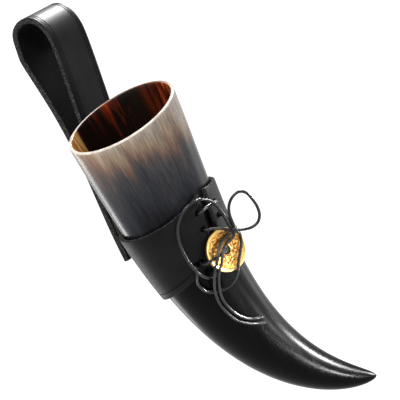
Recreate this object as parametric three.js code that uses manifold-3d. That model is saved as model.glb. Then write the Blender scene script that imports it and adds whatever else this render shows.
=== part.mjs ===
// A drinking horn in a laced leather cuff, hung from a folded belt strap.
// Millimetres, +Z up. The origin is where a belt bears inside the top of the strap's loop,
// X runs along the belt and +Y points out of the back of the strap.
import * as THREE from 'three';
import { mergeVertices } from 'three/addons/utils/BufferGeometryUtils.js';
import Module from 'manifold-3d';

const wasm = await Module();
wasm.setup();

const RAD = Math.PI / 180;

// Horn: its centreline bends in one plane, and its radius falls as a power of the length left
const HORN_LENGTH = 258;
const HORN_MOUTH_DIAMETER = 76;
const HORN_TAPER_POWER = 0.583;
const HORN_LEAN = -4 * RAD;
const HORN_TURN = 70 * RAD;
const HORN_TURN_POWER = 2.85;
const MOUTH_SKEW = 6 * RAD;
const MOUTH_SKEW_REACH = 60;
const RIM_WALL = 2.5;
const CAVITY_DEPTH = 172;
const CAVITY_TAPER_POWER = 0.45;
const HORN_SIDES = 36;
const HORN_RINGS = 20;
const CAVITY_RINGS = 11;

// Cuff: a straight band wrapped on the taper, so its ends rise towards the lacing gap in front
const CUFF_CLEARANCE = 0.5;
const CUFF_THICKNESS = 3;
const CUFF_TOP = 72.5;
const CUFF_FRONT_RISE = 14;
const CUFF_LEFT_HEIGHT = 42;
const CUFF_RIGHT_HEIGHT = 57;
const GAP_TOP_SIDE = 25.6;
const GAP_SLANT = 7.3;
const GAP_WIDTH = 6.7;
const CUFF_STEPS = 44;
const CUFF_ROWS = 4;

// Lace holes and slots, by their way round the cuff from its front and their depth below the mouth
const LACE_DIAMETER = 2;
const LACE_HOLE_DIAMETER = 3.8;
const LACE_SLOT_LENGTH = 9;
const LACE_HOLES = [[16, 68.6], [33.6, 71.3], [14.3, 80.2], [30.9, 80.4], [27, 98.6]];
const LACE_SLOTS = [[0.6, 98.6]];
const SLOT_END_STEPS = 8;

// Belt strap: folded over a belt, both legs riveted to the back of the cuff
const STRAP_BEARING = 133 * RAD;
const STRAP_LEAN = 16 * RAD;
const STRAP_WIDTH = 30;
const STRAP_THICKNESS = 4;
const STRAP_CLEARANCE = 1;
const STRAP_SEAT_DROP = 17.5;
const STRAP_SEAT_DEPTH = CUFF_TOP + STRAP_SEAT_DROP;
const STRAP_TAIL = 6;
const STRAP_TAIL_STEP = 2;
const LOOP_TOP = 158.3;
const LOOP_FRONT_REACH = 1.2;
const LOOP_GAP = 26.6;
const LOOP_FRONT_BEND = 22;
const LOOP_BACK_BEND = 12;
const LOOP_BEND_STEPS = 8;
const LOOP_MOUTH_GAP = 14.3;
const LOOP_MIDDLE_SHARE = 0.3;
const LEGS_MEET_STAND = 1.2;
const LEGS_MEET_SHARE = 0.16;
const FLAT_HEIGHT = 9;
const FLAT_MARGIN = 1.5;
const STRAP_MOUTH_STANDOFF = 1.2;
const STRAP_CURL_MARGIN = 2;
const STRAP_FLAT_FROM = 46;
const STRAP_STEPS = 80;
const STRAP_COLUMNS = 4;

// Rivets through both legs of the strap and the cuff
const RIVET_SHANK_DIAMETER = 4;
const RIVET_CAP_DIAMETER = 9;
const RIVET_CAP_HEIGHT = 2;
const RIVET_HEAD_DIAMETER = 8;
const RIVET_HEAD_THICKNESS = 0.8;
const RIVET_CLEARANCE = 0.35;
const RIVET_TOP_MARGIN = 6.2;
const RIVET_TAIL_MARGIN = 7;
const RIVET_CAP_PROFILE = [[1, 0], [1, 0.3], [0.76, 0.75], [0.4, 0.95], [0, 1]];
const RIVET_SIDES = 20;

// Medallion: a raised rim, a dished face and a hole for the lace
const MEDALLION_DIAMETER = 28;
const MEDALLION_THICKNESS = 2;
const MEDALLION_RIM_WIDTH = 1.6;
const MEDALLION_RIM_HEIGHT = 0.4;
const MEDALLION_HOLE_DIAMETER = 6;
const MEDALLION_PLACE = [18.2, 100, 5.1];
const MEDALLION_TURN = -8.5 * RAD;
const MEDALLION_TILT = 7 * RAD;
const MEDALLION_SIDES = 40;

// Knot of the bow, on the medallion's edge
const KNOT_PLACE = [26.1, 91.5, 10.4];
const KNOT_DIAMETER = 5.2;
const KNOT_PROFILE = [[0, -1], [0.55, -0.92], [0.92, -0.62], [0.84, -0.34], [1, 0], [0.84, 0.34],
  [0.92, 0.62], [0.55, 0.92], [0, 1]];
const KNOT_SIDES = 16;

// Lace routes, chosen point by point: way round the cuff from its front, depth below the mouth, stand off the
// leather's outer face
const LACE_ROUTES = {
  lace_crossing: [[16.0, 68.7, -2.2], [16.0, 68.7, 0.5], [17.4, 68.4, 2.6], [22.1, 68.3, 2.2],
    [27.0, 69.2, 2.3], [31.5, 70.6, 2.8], [33.4, 71.2, 1.1], [33.6, 71.3, -2.2]],
  lace_strand_left: [[14.3, 80.4, -2.2], [14.3, 80.3, 0.6], [15.3, 80.8, 3.4], [18.9, 82.8, 4.8],
    [22.0, 85.4, 5.7], [24.4, 89.0, 7.3]],
  lace_strand_right: [[31.0, 80.3, -2.2], [30.9, 80.3, 0.3], [30.6, 81.1, 3.3], [29.9, 84.2, 6.2],
    [28.8, 88.6, 8.2]],
  lace_strand_middle: [[2.8, 98.7, -2.0], [2.5, 98.7, 0.9], [3.0, 98.7, 4.9], [5.2, 98.7, 7.9],
    [8.4, 98.8, 7.8], [12.0, 99.3, 7.5], [14.9, 99.8, 7.9], [17.3, 99.9, 7.3]],
  bow_loop_left: [[25.8, 88.2, 8.8], [27.0, 82.1, 7.3], [27.9, 75.6, 5.6], [26.2, 66.9, 4.4],
    [20.9, 61.0, 3.4], [15.2, 59.1, 2.5], [7.6, 61.1, 1.9], [1.3, 67.4, 1.8], [-1.9, 74.7, 2.0],
    [-3.3, 83.2, 3.0], [-3.1, 93.6, 5.0], [-1.4, 101.9, 6.6], [1.3, 108.6, 4.7], [6.3, 111.8, 1.2],
    [11.0, 109.1, 1.1]],
  bow_loop_right: [[26.8, 88.2, 11.0], [28.4, 80.4, 10.4], [30.7, 74.9, 11.0], [33.3, 71.1, 13.8],
    [35.6, 70.2, 17.7], [36.5, 73.1, 21.0], [36.1, 79.4, 23.3], [35.3, 85.3, 24.5], [34.1, 91.2, 24.3],
    [32.4, 95.2, 22.2], [30.3, 96.0, 18.1], [27.4, 93.1, 12.7]],
  lace_lower_loop: [[27.5, 96.0, 11.0], [25.6, 101.5, 11.0], [22.1, 106.2, 10.6], [18.3, 110.8, 10.5],
    [14.6, 115.7, 10.8], [11.9, 120.9, 6.6], [7.5, 123.5, 1.2], [0.3, 122.0, -1.1], [-4.2, 118.2, -1.0],
    [-5.9, 113.4, -0.3], [-5.1, 108.2, 1.4], [-3.0, 103.3, 3.8], [-1.6, 99.5, 2.8], [-1.5, 98.7, -2.1]],
  lace_tail_left: [[23.2, 92.1, 7.6], [18.6, 92.6, 6.7], [13.7, 95.3, 8.1], [9.6, 99.5, 10.3],
    [6.0, 104.2, 10.5], [3.3, 111.7, 6.6], [0.6, 119.8, 2.8], [-1.5, 129.2, -0.3], [-1.6, 138.1, -1.4],
    [0.1, 146.7, -1.5], [4.4, 154.2, -1.6], [12.7, 163.3, -1.4]],
  lace_tail_right: [[23.8, 94.9, 9.2], [19.5, 95.5, 8.2], [14.4, 98.1, 9.5], [10.8, 101.9, 10.9],
    [7.7, 106.2, 10.4], [5.4, 113.0, 6.7], [3.1, 120.8, 3.1], [1.3, 129.1, -0.1], [1.4, 137.3, -1.3],
    [3.1, 145.3, -1.3], [7.0, 152.3, -1.4], [14.8, 159.8, -0.7]],
};
const LACE_STEP = 3 * LACE_DIAMETER;
const LACE_SIDES = 8;
const LACE_LEAST_STEPS = 6;

const leather = { color: 0x17161a, roughness: 0.5, metalness: 0 };
const FINISHES = {
  horn: { color: 0x4a423c, roughness: 0.25, metalness: 0 },
  cuff: leather,
  belt_strap: leather,
  rivet: { color: 0x8a8a88, roughness: 0.35, metalness: 1 },
  lace: { color: 0x1c1b1e, roughness: 0.45, metalness: 0 },
  medallion: { color: 0xc79a3f, roughness: 0.3, metalness: 1 },
};

const hornGroup = new THREE.Group();

function addMesh(name, geometry, finish) {
  const mesh = new THREE.Mesh(geometry, new THREE.MeshStandardMaterial(finish));
  mesh.name = name;
  hornGroup.add(mesh);
}

// The horn's centreline, as points at even steps of its length
const CENTRELINE_STEPS = 600;
function hornDirection(length) {
  return HORN_LEAN + HORN_TURN * (length / HORN_LENGTH) ** HORN_TURN_POWER;
}
const centreline = [new THREE.Vector3()];
for (let i = 0; i < CENTRELINE_STEPS; i++) {
  const step = HORN_LENGTH / CENTRELINE_STEPS;
  const angle = hornDirection((i + 0.5) * step);
  const way = new THREE.Vector3(Math.sin(angle), 0, -Math.cos(angle));
  centreline.push(centreline[i].clone().addScaledVector(way, step));
}
function hornCentre(length) {
  const at = THREE.MathUtils.clamp(length / HORN_LENGTH, 0, 1) * CENTRELINE_STEPS;
  const i = Math.min(Math.floor(at), CENTRELINE_STEPS - 1);
  return centreline[i].clone().lerp(centreline[i + 1], at - i);
}
function hornRadius(length) {
  return (HORN_MOUTH_DIAMETER / 2) * Math.max(0, 1 - length / HORN_LENGTH) ** HORN_TAPER_POWER;
}
function cavityRadius(length) {
  return (HORN_MOUTH_DIAMETER / 2 - RIM_WALL) * Math.max(0, 1 - length / CAVITY_DEPTH) ** CAVITY_TAPER_POWER;
}

// A point around the horn: bearing 0 faces the front and grows towards the side the tip bends to
function aroundHorn(length, radius, bearing) {
  const skew = MOUTH_SKEW * Math.max(0, 1 - length / MOUTH_SKEW_REACH) ** 2;
  const angle = hornDirection(length) + skew;
  const side = new THREE.Vector3(Math.cos(angle), 0, Math.sin(angle));
  return hornCentre(length)
    .addScaledVector(side, radius * Math.sin(bearing))
    .add(new THREE.Vector3(0, -radius * Math.cos(bearing), 0));
}

// A closed body through rings of equal count; an end ring of one point is a pole,
// and a flat end is closed by quads between the two faces of a thin ring
function loft(rings) {
  const positions = [];
  const starts = [];
  for (const ring of rings) {
    starts.push(positions.length / 3);
    for (const point of ring) positions.push(point.x, point.y, point.z);
  }
  const index = [];
  for (let r = 0; r + 1 < rings.length; r++) {
    const count = Math.max(rings[r].length, rings[r + 1].length);
    for (let i = 0; i < count; i++) {
      const j = (i + 1) % count;
      const a = starts[r] + (rings[r].length > 1 ? i : 0);
      const b = starts[r] + (rings[r].length > 1 ? j : 0);
      const c = starts[r + 1] + (rings[r + 1].length > 1 ? i : 0);
      const d = starts[r + 1] + (rings[r + 1].length > 1 ? j : 0);
      if (a !== b) index.push(a, b, c);
      if (c !== d) index.push(b, d, c);
    }
  }
  for (const [ring, start, flip] of [[rings[0], starts[0], true], [rings.at(-1), starts.at(-1), false]]) {
    for (let i = 0; ring.length > 1 && i + 1 < ring.length / 2; i++) {
      const [a, b] = [start + i, start + i + 1];
      const [c, d] = [start + ring.length - 1 - i, start + ring.length - 2 - i];
      if (flip) index.push(a, c, b, b, c, d);
      else index.push(a, b, c, b, d, c);
    }
  }
  const geometry = new THREE.BufferGeometry();
  geometry.setAttribute('position', new THREE.Float32BufferAttribute(positions, 3));
  geometry.setIndex(index);
  return outwards(geometry);
}

// Turns a closed body's faces outwards if its volume comes out negative
function outwards(geometry) {
  const position = geometry.getAttribute('position');
  const index = geometry.getIndex();
  const corner = [new THREE.Vector3(), new THREE.Vector3(), new THREE.Vector3()];
  let volume = 0;
  for (let i = 0; i < index.count; i += 3) {
    corner.forEach((point, k) => point.fromBufferAttribute(position, index.getX(i + k)));
    volume += corner[0].dot(corner[1].clone().cross(corner[2]));
  }
  if (volume < 0) geometry.setIndex(Array.from(index.array).reverse());
  return geometry;
}

const MERGE_DISTANCE = 1e-4;
function toSolid(geometry) {
  const bare = geometry.clone();
  bare.deleteAttribute('normal');
  bare.deleteAttribute('uv');
  const merged = mergeVertices(bare, MERGE_DISTANCE);
  return new wasm.Manifold(new wasm.Mesh({
    numProp: 3,
    vertProperties: new Float32Array(merged.getAttribute('position').array),
    triVerts: new Uint32Array(merged.getIndex().array),
  }));
}
function fromSolid(solid) {
  const mesh = solid.getMesh();
  const geometry = new THREE.BufferGeometry();
  geometry.setAttribute('position', new THREE.Float32BufferAttribute(mesh.vertProperties, 3));
  geometry.setIndex(Array.from(mesh.triVerts));
  return geometry;
}
function cut(geometry, tools) {
  return fromSolid(tools.reduce((solid, tool) => solid.subtract(toSolid(tool)), toSolid(geometry)));
}

// Horn: a hollow shell with a solid tip, drawn as one skin from the cavity's end to the tip
function makeHorn() {
  const bearings = Array.from({ length: HORN_SIDES }, (_, i) => (i / HORN_SIDES) * 2 * Math.PI);
  const ring = (length, radius) => bearings.map((bearing) => aroundHorn(length, radius, bearing));
  const rings = [[hornCentre(CAVITY_DEPTH)]];
  for (let i = 1; i <= CAVITY_RINGS; i++) {
    const length = CAVITY_DEPTH * (1 - (i / CAVITY_RINGS) ** 2 * (2 - i / CAVITY_RINGS));
    rings.push(ring(length, cavityRadius(length)));
  }
  for (let i = 0; i < HORN_RINGS; i++) {
    const length = HORN_LENGTH * Math.sin((i / HORN_RINGS) * Math.PI / 2);
    rings.push(ring(length, hornRadius(length)));
  }
  rings.push([hornCentre(HORN_LENGTH)]);
  addMesh('horn', loft(rings), FINISHES.horn);
}

// Places off the cuff: way round from its front, depth below the mouth and stand off its outer face
function cuffOuterRadius(depth) {
  return hornRadius(depth) + CUFF_CLEARANCE + CUFF_THICKNESS;
}
function cuffBearing(side, depth) {
  return side / cuffOuterRadius(depth);
}
function offCuff([side, depth, stand]) {
  return aroundHorn(depth, cuffOuterRadius(depth) + stand, cuffBearing(side, depth));
}

// Cuff: t runs along the band from its left end to its right end, v runs down it
function cuffPoint(t, v, offset) {
  const top = CUFF_TOP - CUFF_FRONT_RISE * (2 * t - 1) ** 2;
  const length = top + v * THREE.MathUtils.lerp(CUFF_LEFT_HEIGHT, CUFF_RIGHT_HEIGHT, t);
  const gapAngle = cuffBearing(GAP_WIDTH, CUFF_TOP);
  const gapMiddle = cuffBearing(GAP_TOP_SIDE - GAP_SLANT * v, CUFF_TOP);
  const bearing = gapMiddle - gapAngle / 2 - t * (2 * Math.PI - gapAngle);
  return aroundHorn(length, hornRadius(length) + CUFF_CLEARANCE + offset, bearing);
}

// A round-ended slot cutter through the leather, its long way level round the cuff
function slotTool([side, depth], length) {
  const shape = new THREE.Shape();
  const straight = (length - LACE_HOLE_DIAMETER) / 2;
  shape.absarc(straight, 0, LACE_HOLE_DIAMETER / 2, -Math.PI / 2, Math.PI / 2, false);
  shape.absarc(-straight, 0, LACE_HOLE_DIAMETER / 2, Math.PI / 2, 3 * Math.PI / 2, false);
  const inside = CUFF_CLEARANCE + CUFF_THICKNESS;
  const tool = new THREE.ExtrudeGeometry(shape, {
    depth: 2 * inside + CUFF_THICKNESS,
    bevelEnabled: false,
    curveSegments: SLOT_END_STEPS,
  });
  tool.rotateX(Math.PI / 2);
  tool.rotateZ(cuffBearing(side, depth));
  const seat = offCuff([side, depth, -inside - CUFF_THICKNESS]);
  return tool.translate(seat.x, seat.y, seat.z);
}
function makeCuff() {
  const rings = [];
  for (let i = 0; i <= CUFF_STEPS; i++) {
    const rows = Array.from({ length: CUFF_ROWS + 1 }, (_, j) => j / CUFF_ROWS);
    const outer = rows.map((v) => cuffPoint(i / CUFF_STEPS, v, CUFF_THICKNESS));
    const inner = rows.map((v) => cuffPoint(i / CUFF_STEPS, v, 0)).reverse();
    rings.push([...outer, ...inner]);
  }
  const laceCuts = [
    ...LACE_HOLES.map((place) => slotTool(place, LACE_HOLE_DIAMETER)),
    ...LACE_SLOTS.map((place) => slotTool(place, LACE_SLOT_LENGTH)),
  ];
  const rivetCuts = Object.values(rivetHeights).flatMap((height) => rivetTools(height, true));
  addMesh('cuff', cut(loft(rings), [...laceCuts, ...rivetCuts]), FINISHES.cuff);
}

// Strap frame: out of the cuff's back, along the belt, and up; heights run up the leaning strap
const strapAxis = hornCentre(STRAP_SEAT_DEPTH);
const strapOut = new THREE.Vector3(Math.cos(STRAP_BEARING), Math.sin(STRAP_BEARING), 0);
const strapAlong = new THREE.Vector3(Math.sin(STRAP_BEARING), -Math.cos(STRAP_BEARING), 0);
function strapPoint(reach, height, across, curl) {
  const side = across * Math.cos(STRAP_LEAN) + height * Math.sin(STRAP_LEAN);
  const rise = height * Math.cos(STRAP_LEAN) - across * Math.sin(STRAP_LEAN);
  const sag = curl * (reach - Math.sqrt(Math.max(0, reach ** 2 - side ** 2)));
  return strapAxis.clone()
    .addScaledVector(strapOut, reach - sag)
    .addScaledVector(strapAlong, side)
    .add(new THREE.Vector3(0, 0, rise));
}
function cuffReach(height) {
  return cuffOuterRadius(STRAP_SEAT_DEPTH - height * Math.cos(STRAP_LEAN)) + STRAP_CLEARANCE;
}

// The middle line of the folded strap seen edge-on, as reach out of the cuff against height
const mouthHeight = STRAP_SEAT_DEPTH / Math.cos(STRAP_LEAN);
const half = STRAP_THICKNESS / 2;
const cuffTopHeight = (STRAP_SEAT_DEPTH - CUFF_TOP) / Math.cos(STRAP_LEAN);
const topReach = cuffReach(cuffTopHeight) + half;
const mouthReach = HORN_MOUTH_DIAMETER / 2 - strapOut.dot(strapAxis) + STRAP_MOUTH_STANDOFF + half;
const layer = STRAP_THICKNESS + STRAP_CLEARANCE;
const loopRadius = (LOOP_GAP + STRAP_THICKNESS) / 2;
const loopFront = mouthReach + LOOP_FRONT_REACH;
const loopCrown = LOOP_TOP - half;
const rivetHeights = {
  rivet_upper: cuffTopHeight - RIVET_TOP_MARGIN,
  rivet_lower: RIVET_TAIL_MARGIN - STRAP_TAIL,
};
function strapLine() {
  const points = [];
  const add = (reach, height) => points.push(new THREE.Vector3(reach, height, 0));
  const frontEnd = -STRAP_TAIL + STRAP_TAIL_STEP;
  for (const share of [0, 0.5]) {
    const height = THREE.MathUtils.lerp(frontEnd, cuffTopHeight, share);
    add(cuffReach(height) + half, height);
  }
  add(topReach, cuffTopHeight);
  add(THREE.MathUtils.lerp(topReach, mouthReach, 0.5), (cuffTopHeight + mouthHeight) / 2);
  add(mouthReach, mouthHeight);
  for (let i = 0; i <= LOOP_BEND_STEPS; i++) {
    const angle = Math.PI * (1 - i / LOOP_BEND_STEPS);
    const bend = 2 * i < LOOP_BEND_STEPS ? LOOP_FRONT_BEND : LOOP_BACK_BEND;
    add(loopFront + loopRadius * (1 + Math.cos(angle)), loopCrown - bend * (1 - Math.sin(angle)));
  }
  for (const drop of [FLAT_MARGIN, FLAT_MARGIN + FLAT_HEIGHT, 2 * FLAT_MARGIN + FLAT_HEIGHT]) {
    add(loopFront + 2 * loopRadius, loopCrown - LOOP_BACK_BEND - drop);
  }
  add(mouthReach + LOOP_MOUTH_GAP + STRAP_THICKNESS, mouthHeight);
  add(topReach + layer + LOOP_MOUTH_GAP * LOOP_MIDDLE_SHARE, (cuffTopHeight + mouthHeight) / 2);
  add(topReach + layer + LEGS_MEET_STAND, cuffTopHeight + LEGS_MEET_SHARE * mouthHeight);
  for (const share of [0, 0.5, 1]) {
    const height = THREE.MathUtils.lerp(cuffTopHeight, -STRAP_TAIL, share);
    add(cuffReach(height) + half + layer, height);
  }
  return new THREE.CatmullRomCurve3(points);
}
function curlAt(height) {
  return 1 - THREE.MathUtils.smoothstep(height, cuffTopHeight + STRAP_CURL_MARGIN, STRAP_FLAT_FROM);
}
function makeStrap() {
  const line = strapLine();
  const rings = [];
  for (let i = 0; i <= STRAP_STEPS; i++) {
    const middle = line.getPointAt(i / STRAP_STEPS);
    const along = line.getTangentAt(i / STRAP_STEPS);
    const ring = [];
    for (const [side, order] of [[half, 1], [-half, -1]]) {
      for (let j = 0; j <= STRAP_COLUMNS; j++) {
        const share = order > 0 ? j / STRAP_COLUMNS : 1 - j / STRAP_COLUMNS;
        const reach = middle.x - along.y * side;
        const height = middle.y + along.x * side;
        ring.push(strapPoint(reach, height, (share - 0.5) * STRAP_WIDTH, curlAt(height)));
      }
    }
    rings.push(ring);
  }
  const tools = Object.values(rivetHeights).flatMap((height) => rivetTools(height, false));
  addMesh('belt_strap', cut(loft(rings), tools), FINISHES.belt_strap);
}

// Places a body turned about +Y so that +Y points square out of the strap at a height on its middle
function placeOnStrap(geometry, reach, height) {
  const base = cuffReach(height);
  const seat = strapPoint(0, height, 0, 0).addScaledVector(strapOut, base);
  geometry.translate(0, reach - base, 0);
  geometry.rotateX(-Math.atan((cuffReach(height + 1) - cuffReach(height - 1)) / 2));
  geometry.rotateZ(STRAP_BEARING - Math.PI / 2);
  return geometry.translate(seat.x, seat.y, seat.z);
}
function cuffInnerReach(height) {
  return cuffReach(height) - STRAP_CLEARANCE - CUFF_THICKNESS;
}
function capReach(height) {
  return cuffReach(height) + layer + STRAP_THICKNESS + RIVET_CLEARANCE;
}
function rivetCut(radius, long, reach, height) {
  return placeOnStrap(new THREE.CylinderGeometry(radius, radius, long, RIVET_SIDES), reach, height);
}
function rivetTools(height, counterbored) {
  const bore = RIVET_SHANK_DIAMETER / 2 + RIVET_CLEARANCE;
  const long = 2 * (capReach(height) - cuffInnerReach(height));
  const tools = [rivetCut(bore, long, cuffReach(height), height)];
  if (counterbored) {
    const deep = 2 * (RIVET_HEAD_THICKNESS + 2 * RIVET_CLEARANCE);
    tools.push(rivetCut(RIVET_HEAD_DIAMETER / 2 + RIVET_CLEARANCE, deep, cuffInnerReach(height), height));
  }
  return tools;
}
function makeRivet(name, height) {
  const head = cuffInnerReach(height) + RIVET_CLEARANCE;
  const cap = capReach(height) - head;
  const profile = [[0, 0], [RIVET_HEAD_DIAMETER / 2, 0], [RIVET_HEAD_DIAMETER / 2, RIVET_HEAD_THICKNESS],
    [RIVET_SHANK_DIAMETER / 2, RIVET_HEAD_THICKNESS], [RIVET_SHANK_DIAMETER / 2, cap]];
  for (const [out, up] of RIVET_CAP_PROFILE) {
    profile.push([out * RIVET_CAP_DIAMETER / 2, cap + up * RIVET_CAP_HEIGHT]);
  }
  const geometry = new THREE.LatheGeometry(profile.map(([x, y]) => new THREE.Vector2(x, y)), RIVET_SIDES);
  addMesh(name, placeOnStrap(geometry, head, height), FINISHES.rivet);
}

// Medallion: turned about its own axis, which points out of its face
function makeMedallion() {
  const radius = MEDALLION_DIAMETER / 2;
  const back = -MEDALLION_THICKNESS / 2;
  const face = MEDALLION_THICKNESS / 2;
  const inner = radius - MEDALLION_RIM_WIDTH;
  const hole = MEDALLION_HOLE_DIAMETER / 2;
  const profile = [[hole, back], [radius, back], [radius, face + MEDALLION_RIM_HEIGHT / 2],
    [radius - MEDALLION_RIM_WIDTH / 2, face + MEDALLION_RIM_HEIGHT], [inner, face], [hole, face],
    [hole, back]].map(([x, y]) => new THREE.Vector2(x, y));
  const geometry = new THREE.LatheGeometry(profile, MEDALLION_SIDES);
  const [side, depth] = MEDALLION_PLACE;
  geometry.rotateX(Math.PI - MEDALLION_TILT);
  geometry.rotateZ(cuffBearing(side, depth) + MEDALLION_TURN);
  addMesh('medallion', geometry.translate(...offCuff(MEDALLION_PLACE)), FINISHES.medallion);
}

// Knot: a rounded barrel with two waists where the lace's turns lie on each other
function makeKnot() {
  const radius = KNOT_DIAMETER / 2;
  const profile = KNOT_PROFILE.map(([x, y]) => new THREE.Vector2(x * radius, y * radius));
  const geometry = new THREE.LatheGeometry(profile, KNOT_SIDES);
  geometry.rotateX(Math.PI / 2);
  addMesh('lace_knot', geometry.translate(...offCuff(KNOT_PLACE)), FINISHES.lace);
}

// Lace: a round cord along each chosen route
function makeLace(name, route) {
  const path = new THREE.CatmullRomCurve3(route.map(offCuff));
  const section = new THREE.Shape();
  for (let i = 0; i < LACE_SIDES; i++) {
    const angle = (i / LACE_SIDES) * 2 * Math.PI;
    const point = [Math.cos(angle) * LACE_DIAMETER / 2, Math.sin(angle) * LACE_DIAMETER / 2];
    if (i === 0) section.moveTo(...point);
    else section.lineTo(...point);
  }
  const steps = Math.max(LACE_LEAST_STEPS, Math.round(path.getLength() / LACE_STEP));
  const geometry = new THREE.ExtrudeGeometry(section, { steps, extrudePath: path, bevelEnabled: false });
  addMesh(name, geometry, FINISHES.lace);
}

makeHorn();
makeCuff();
makeStrap();
for (const [name, height] of Object.entries(rivetHeights)) makeRivet(name, height);
makeMedallion();
makeKnot();
for (const [name, route] of Object.entries(LACE_ROUTES)) makeLace(name, route);

// The belt bears on the inside of the loop's top: that point is the origin
const beltSeat = strapPoint(loopFront + loopRadius, LOOP_TOP - STRAP_THICKNESS, 0, 0);
const turn = Math.PI / 2 - STRAP_BEARING;
hornGroup.rotation.z = turn;
hornGroup.position.copy(beltSeat.applyAxisAngle(new THREE.Vector3(0, 0, 1), turn).negate());

const part = new THREE.Group();
part.add(hornGroup);
export default part;
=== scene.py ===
import math

import bmesh
import bpy
from bpy.props import FloatProperty, FloatVectorProperty, PointerProperty
from mathutils import Matrix, Vector, noise


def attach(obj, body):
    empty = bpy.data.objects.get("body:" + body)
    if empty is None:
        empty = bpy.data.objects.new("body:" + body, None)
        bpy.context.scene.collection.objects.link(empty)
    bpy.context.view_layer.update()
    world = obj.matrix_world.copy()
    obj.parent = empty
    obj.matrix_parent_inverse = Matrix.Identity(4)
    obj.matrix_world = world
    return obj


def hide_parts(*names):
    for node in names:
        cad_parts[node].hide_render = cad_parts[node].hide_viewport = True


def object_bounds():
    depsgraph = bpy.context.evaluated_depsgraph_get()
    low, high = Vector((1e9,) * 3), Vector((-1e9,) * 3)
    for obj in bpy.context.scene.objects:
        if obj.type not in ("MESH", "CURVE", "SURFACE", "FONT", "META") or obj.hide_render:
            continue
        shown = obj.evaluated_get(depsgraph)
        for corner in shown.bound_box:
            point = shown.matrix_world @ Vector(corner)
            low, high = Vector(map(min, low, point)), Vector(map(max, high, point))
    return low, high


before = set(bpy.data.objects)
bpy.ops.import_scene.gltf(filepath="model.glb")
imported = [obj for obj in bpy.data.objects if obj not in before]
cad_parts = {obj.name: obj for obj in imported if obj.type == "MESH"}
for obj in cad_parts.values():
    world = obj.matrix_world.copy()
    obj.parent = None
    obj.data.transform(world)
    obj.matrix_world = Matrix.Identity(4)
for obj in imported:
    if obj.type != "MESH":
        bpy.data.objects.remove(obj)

bl_info = {
    "name": "Drinking horn in a belt holder",
    "version": (1, 0, 0),
    "blender": (4, 5, 0),
    "location": "View3D > Sidebar > Horn",
    "description": "Builds a drinking horn, its laced leather cuff and belt strap, and the stage around them",
    "category": "Object",
}

CAD_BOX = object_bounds()
MM = 0.001

# The horn is modelled with the middle of its mouth at the origin and its bend in the XZ plane, then set here
HORN_PLACE = Vector((-38.976, -57.7, -58.468)) * MM
HORN_FACING = math.radians(-43)
# Depth at which the horn's outside is black, and where its rim is brown, turned from the way it faces
HORN_BLACK_FROM = 90 * MM
HORN_BROWN_TURN = math.radians(55)

# Lace routes: way round the cuff from its front, depth below the mouth, stand off the leather, in millimetres
LACE_ROUTES = {
    "lace_crossing": [
        (16.0, 68.7, -2.2), (16.0, 68.7, 0.5), (17.4, 68.4, 2.6), (22.1, 68.3, 2.2), (27.0, 69.2, 2.3),
        (31.5, 70.6, 2.8), (33.4, 71.2, 1.1), (33.6, 71.3, -2.2)],
    "lace_strand_left": [
        (14.3, 80.4, -2.2), (14.3, 80.3, 0.6), (15.3, 80.8, 3.4), (18.9, 82.8, 4.8), (22.0, 85.4, 5.7),
        (24.4, 89.0, 7.3)],
    "lace_strand_right": [
        (31.0, 80.3, -2.2), (30.9, 80.3, 0.3), (30.6, 81.1, 3.3), (29.9, 84.2, 6.2), (28.8, 88.6, 8.2)],
    "lace_strand_middle": [
        (2.8, 98.7, -2.0), (2.5, 98.7, 0.9), (3.0, 98.7, 4.9), (5.2, 98.7, 7.9), (8.4, 98.8, 7.8),
        (12.0, 99.3, 7.5), (14.9, 99.8, 7.9), (17.3, 99.9, 7.3)],
    "bow_loop_left": [
        (25.8, 88.2, 8.8), (27.0, 82.1, 7.3), (27.9, 75.6, 5.6), (26.2, 66.9, 4.4), (20.9, 61.0, 3.4),
        (15.2, 59.1, 2.5), (7.6, 61.1, 1.9), (1.3, 67.4, 1.8), (-1.9, 74.7, 2.0), (-3.3, 83.2, 3.0),
        (-3.1, 93.6, 5.0), (-1.4, 101.9, 6.6), (1.3, 108.6, 4.7), (6.3, 111.8, 1.2), (11.0, 109.1, 1.1)],
    "bow_loop_right": [
        (26.8, 88.2, 11.0), (28.4, 80.4, 10.4), (30.7, 74.9, 11.0), (33.3, 71.1, 13.8), (35.6, 70.2, 17.7),
        (36.5, 73.1, 21.0), (36.1, 79.4, 23.3), (35.3, 85.3, 24.5), (34.1, 91.2, 24.3), (32.4, 95.2, 22.2),
        (30.3, 96.0, 18.1), (27.4, 93.1, 12.7)],
    "lace_lower_loop": [
        (27.5, 96.0, 11.0), (25.6, 101.5, 11.0), (22.1, 106.2, 10.6), (18.3, 110.8, 10.5), (14.6, 115.7, 10.8),
        (11.9, 120.9, 6.6), (7.5, 123.5, 1.2), (0.3, 122.0, -1.1), (-4.2, 118.2, -1.0), (-5.9, 113.4, -0.3),
        (-5.1, 108.2, 1.4), (-3.0, 103.3, 3.8), (-1.6, 99.5, 2.8), (-1.5, 98.7, -2.1)],
    "lace_tail_left": [
        (23.2, 92.1, 7.6), (18.6, 92.6, 6.7), (13.7, 95.3, 8.1), (9.6, 99.5, 10.3), (6.0, 104.2, 10.5),
        (3.3, 111.7, 6.6), (0.6, 119.8, 2.8), (-1.5, 129.2, -0.3), (-1.6, 138.1, -1.4), (0.1, 146.7, -1.5),
        (4.4, 154.2, -1.6), (12.7, 163.3, -1.4)],
    "lace_tail_right": [
        (23.8, 94.9, 9.2), (19.5, 95.5, 8.2), (14.4, 98.1, 9.5), (10.8, 101.9, 10.9), (7.7, 106.2, 10.4),
        (5.4, 113.0, 6.7), (3.1, 120.8, 3.1), (1.3, 129.1, -0.1), (1.4, 137.3, -1.3), (3.1, 145.3, -1.3),
        (7.0, 152.3, -1.4), (14.8, 159.8, -0.7)],
}
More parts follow.
